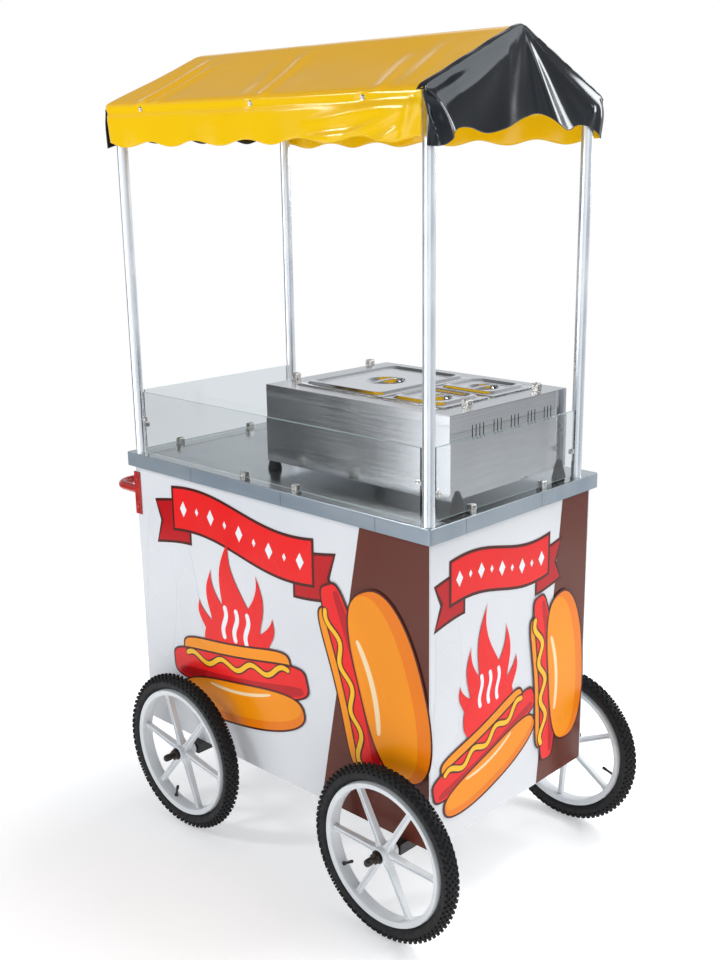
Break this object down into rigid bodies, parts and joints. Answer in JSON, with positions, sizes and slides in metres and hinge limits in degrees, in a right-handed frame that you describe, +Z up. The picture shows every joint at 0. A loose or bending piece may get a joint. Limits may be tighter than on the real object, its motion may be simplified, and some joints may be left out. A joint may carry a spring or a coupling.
{
  "type": "push vending cart",
  "caption": "Push food cart on spoked wheels: panelled cabinet, steel counter with glass guards, food warmer with lidded pans, tube posts and a pitched canopy.",
  "frame": {"origin": "on the floor, under the centre of the whole object's box", "axes": "+Z up, customer side faces -Y, push handle at the -X end"},
  "size_m": [1.209, 0.796, 1.877],
  "materials": {
    "white_panel": "white laminate panel, slight gloss",
    "brushed_steel": "brushed stainless sheet",
    "filmed_steel": "stainless sheet under blue-grey protective film",
    "zinc_tube": "bright zinc-plated steel tube",
    "black_steel": "black painted steel",
    "red_paint": "red gloss paint",
    "chrome": "polished",
    "clear_glass": "clear flat glass",
    "yellow_cloth": "glossy coated yellow cloth",
    "black_cloth": "glossy coated black cloth",
    "tyre_rubber": "matt black rubber",
    "white_rim": "white moulded nylon",
    "black_rubber": "matt",
    "black_plastic": "moulded"
  },
  "bodies": {
    "cart": {"chassis_frame": "black_steel", "heating_element": "black_steel", "left_axle": "black_steel", "right_axle": "black_steel", "cabinet_floor": "brushed_steel", "storage_shelf": "brushed_steel", "warmer_casing": "brushed_steel", "warmer_deck": "brushed_steel", "warmer_rear_housing": "brushed_steel", "warmer_base_plate": "brushed_steel", "water_well": "brushed_steel", "front_panel": "white_panel", "left_panel": "white_panel", "right_panel": "white_panel", "back_panel": "white_panel", "left_door_hinge": "chrome", "right_door_hinge": "chrome", "front_glass_clip_a": "chrome", "front_glass_clip_b": "chrome", "left_glass_clip_a": "chrome", "left_glass_clip_b": "chrome", "right_glass_clip_a": "chrome", "right_glass_clip_b": "chrome", "countertop": "filmed_steel", "push_handle": "red_paint", "canopy_frame": "zinc_tube", "post_front_left": "zinc_tube", "post_front_right": "zinc_tube", "post_rear_left": "zinc_tube", "post_rear_right": "zinc_tube", "canopy_roof": "yellow_cloth", "left_gable": "black_cloth", "right_gable": "black_cloth", "front_glass": "clear_glass", "left_glass": "clear_glass", "right_glass": "clear_glass", "cable_gland": "black_plastic", "warmer_foot_front_left": "black_rubber", "warmer_foot_front_right": "black_rubber", "warmer_foot_rear_left": "black_rubber", "warmer_foot_rear_right": "black_rubber"},
    "front_left_wheel": {"front_left_rim": "white_rim", "front_left_tyre": "tyre_rubber"},
    "front_right_wheel": {"front_right_rim": "white_rim", "front_right_tyre": "tyre_rubber"},
    "rear_left_wheel": {"rear_left_rim": "white_rim", "rear_left_tyre": "tyre_rubber"},
    "rear_right_wheel": {"rear_right_rim": "white_rim", "rear_right_tyre": "tyre_rubber"},
    "left_door": {"left_door": "white_panel", "left_door_pull": "chrome"},
    "right_door": {"right_door": "white_panel", "right_door_pull": "chrome"},
    "thermostat_knob": {"thermostat_knob": "black_plastic"},
    "pan_large": {"pan_large": "brushed_steel"},
    "lid_large": {"lid_large": "chrome"},
    "pan_small_front": {"pan_small_front": "brushed_steel"},
    "lid_small_front": {"lid_small_front": "chrome"},
    "pan_small_rear": {"pan_small_rear": "brushed_steel"},
    "lid_small_rear": {"lid_small_rear": "chrome"}
  },
  "joints": [
    {"name": "front_left_wheel_spin", "type": "hinge", "parent": "cart", "child": "front_left_wheel", "pos_m": [-0.285, -0.338, 0.2015], "axis": [0, 1, 0], "continuous": true},
    {"name": "front_right_wheel_spin", "type": "hinge", "parent": "cart", "child": "front_right_wheel", "pos_m": [0.403, -0.338, 0.2015], "axis": [0, 1, 0], "continuous": true},
    {"name": "rear_left_wheel_spin", "type": "hinge", "parent": "cart", "child": "rear_left_wheel", "pos_m": [-0.285, 0.338, 0.2015], "axis": [0, 1, 0], "continuous": true},
    {"name": "rear_right_wheel_spin", "type": "hinge", "parent": "cart", "child": "rear_right_wheel", "pos_m": [0.403, 0.338, 0.2015], "axis": [0, 1, 0], "continuous": true},
    {"name": "left_door_swing", "type": "hinge", "parent": "cart", "child": "left_door", "pos_m": [-0.449, 0.2871, 0.65], "axis": [0, 0, 1], "range_deg": [0, 110]},
    {"name": "right_door_swing", "type": "hinge", "parent": "cart", "child": "right_door", "pos_m": [0.437, 0.2871, 0.65], "axis": [0, 0, -1], "range_deg": [0, 110]},
    {"name": "thermostat_turn", "type": "hinge", "parent": "cart", "child": "thermostat_knob", "pos_m": [0.074, 0.2153, 1.06], "axis": [0, 1, 0], "range_deg": [0, 270]},
    {"name": "pan_large_lift", "type": "slide", "parent": "cart", "child": "pan_large", "axis": [0, 0, 1], "range_m": [0, 0.2]},
    {"name": "lid_large_lift", "type": "slide", "parent": "pan_large", "child": "lid_large", "axis": [0, 0, 1], "range_m": [0, 0.15]},
    {"name": "pan_small_front_lift", "type": "slide", "parent": "cart", "child": "pan_small_front", "axis": [0, 0, 1], "range_m": [0, 0.2]},
    {"name": "lid_small_front_lift", "type": "slide", "parent": "pan_small_front", "child": "lid_small_front", "axis": [0, 0, 1], "range_m": [0, 0.15]},
    {"name": "pan_small_rear_lift", "type": "slide", "parent": "cart", "child": "pan_small_rear", "axis": [0, 0, 1], "range_m": [0, 0.2]},
    {"name": "lid_small_rear_lift", "type": "slide", "parent": "pan_small_rear", "child": "lid_small_rear", "axis": [0, 0, 1], "range_m": [0, 0.15]}
  ]
}
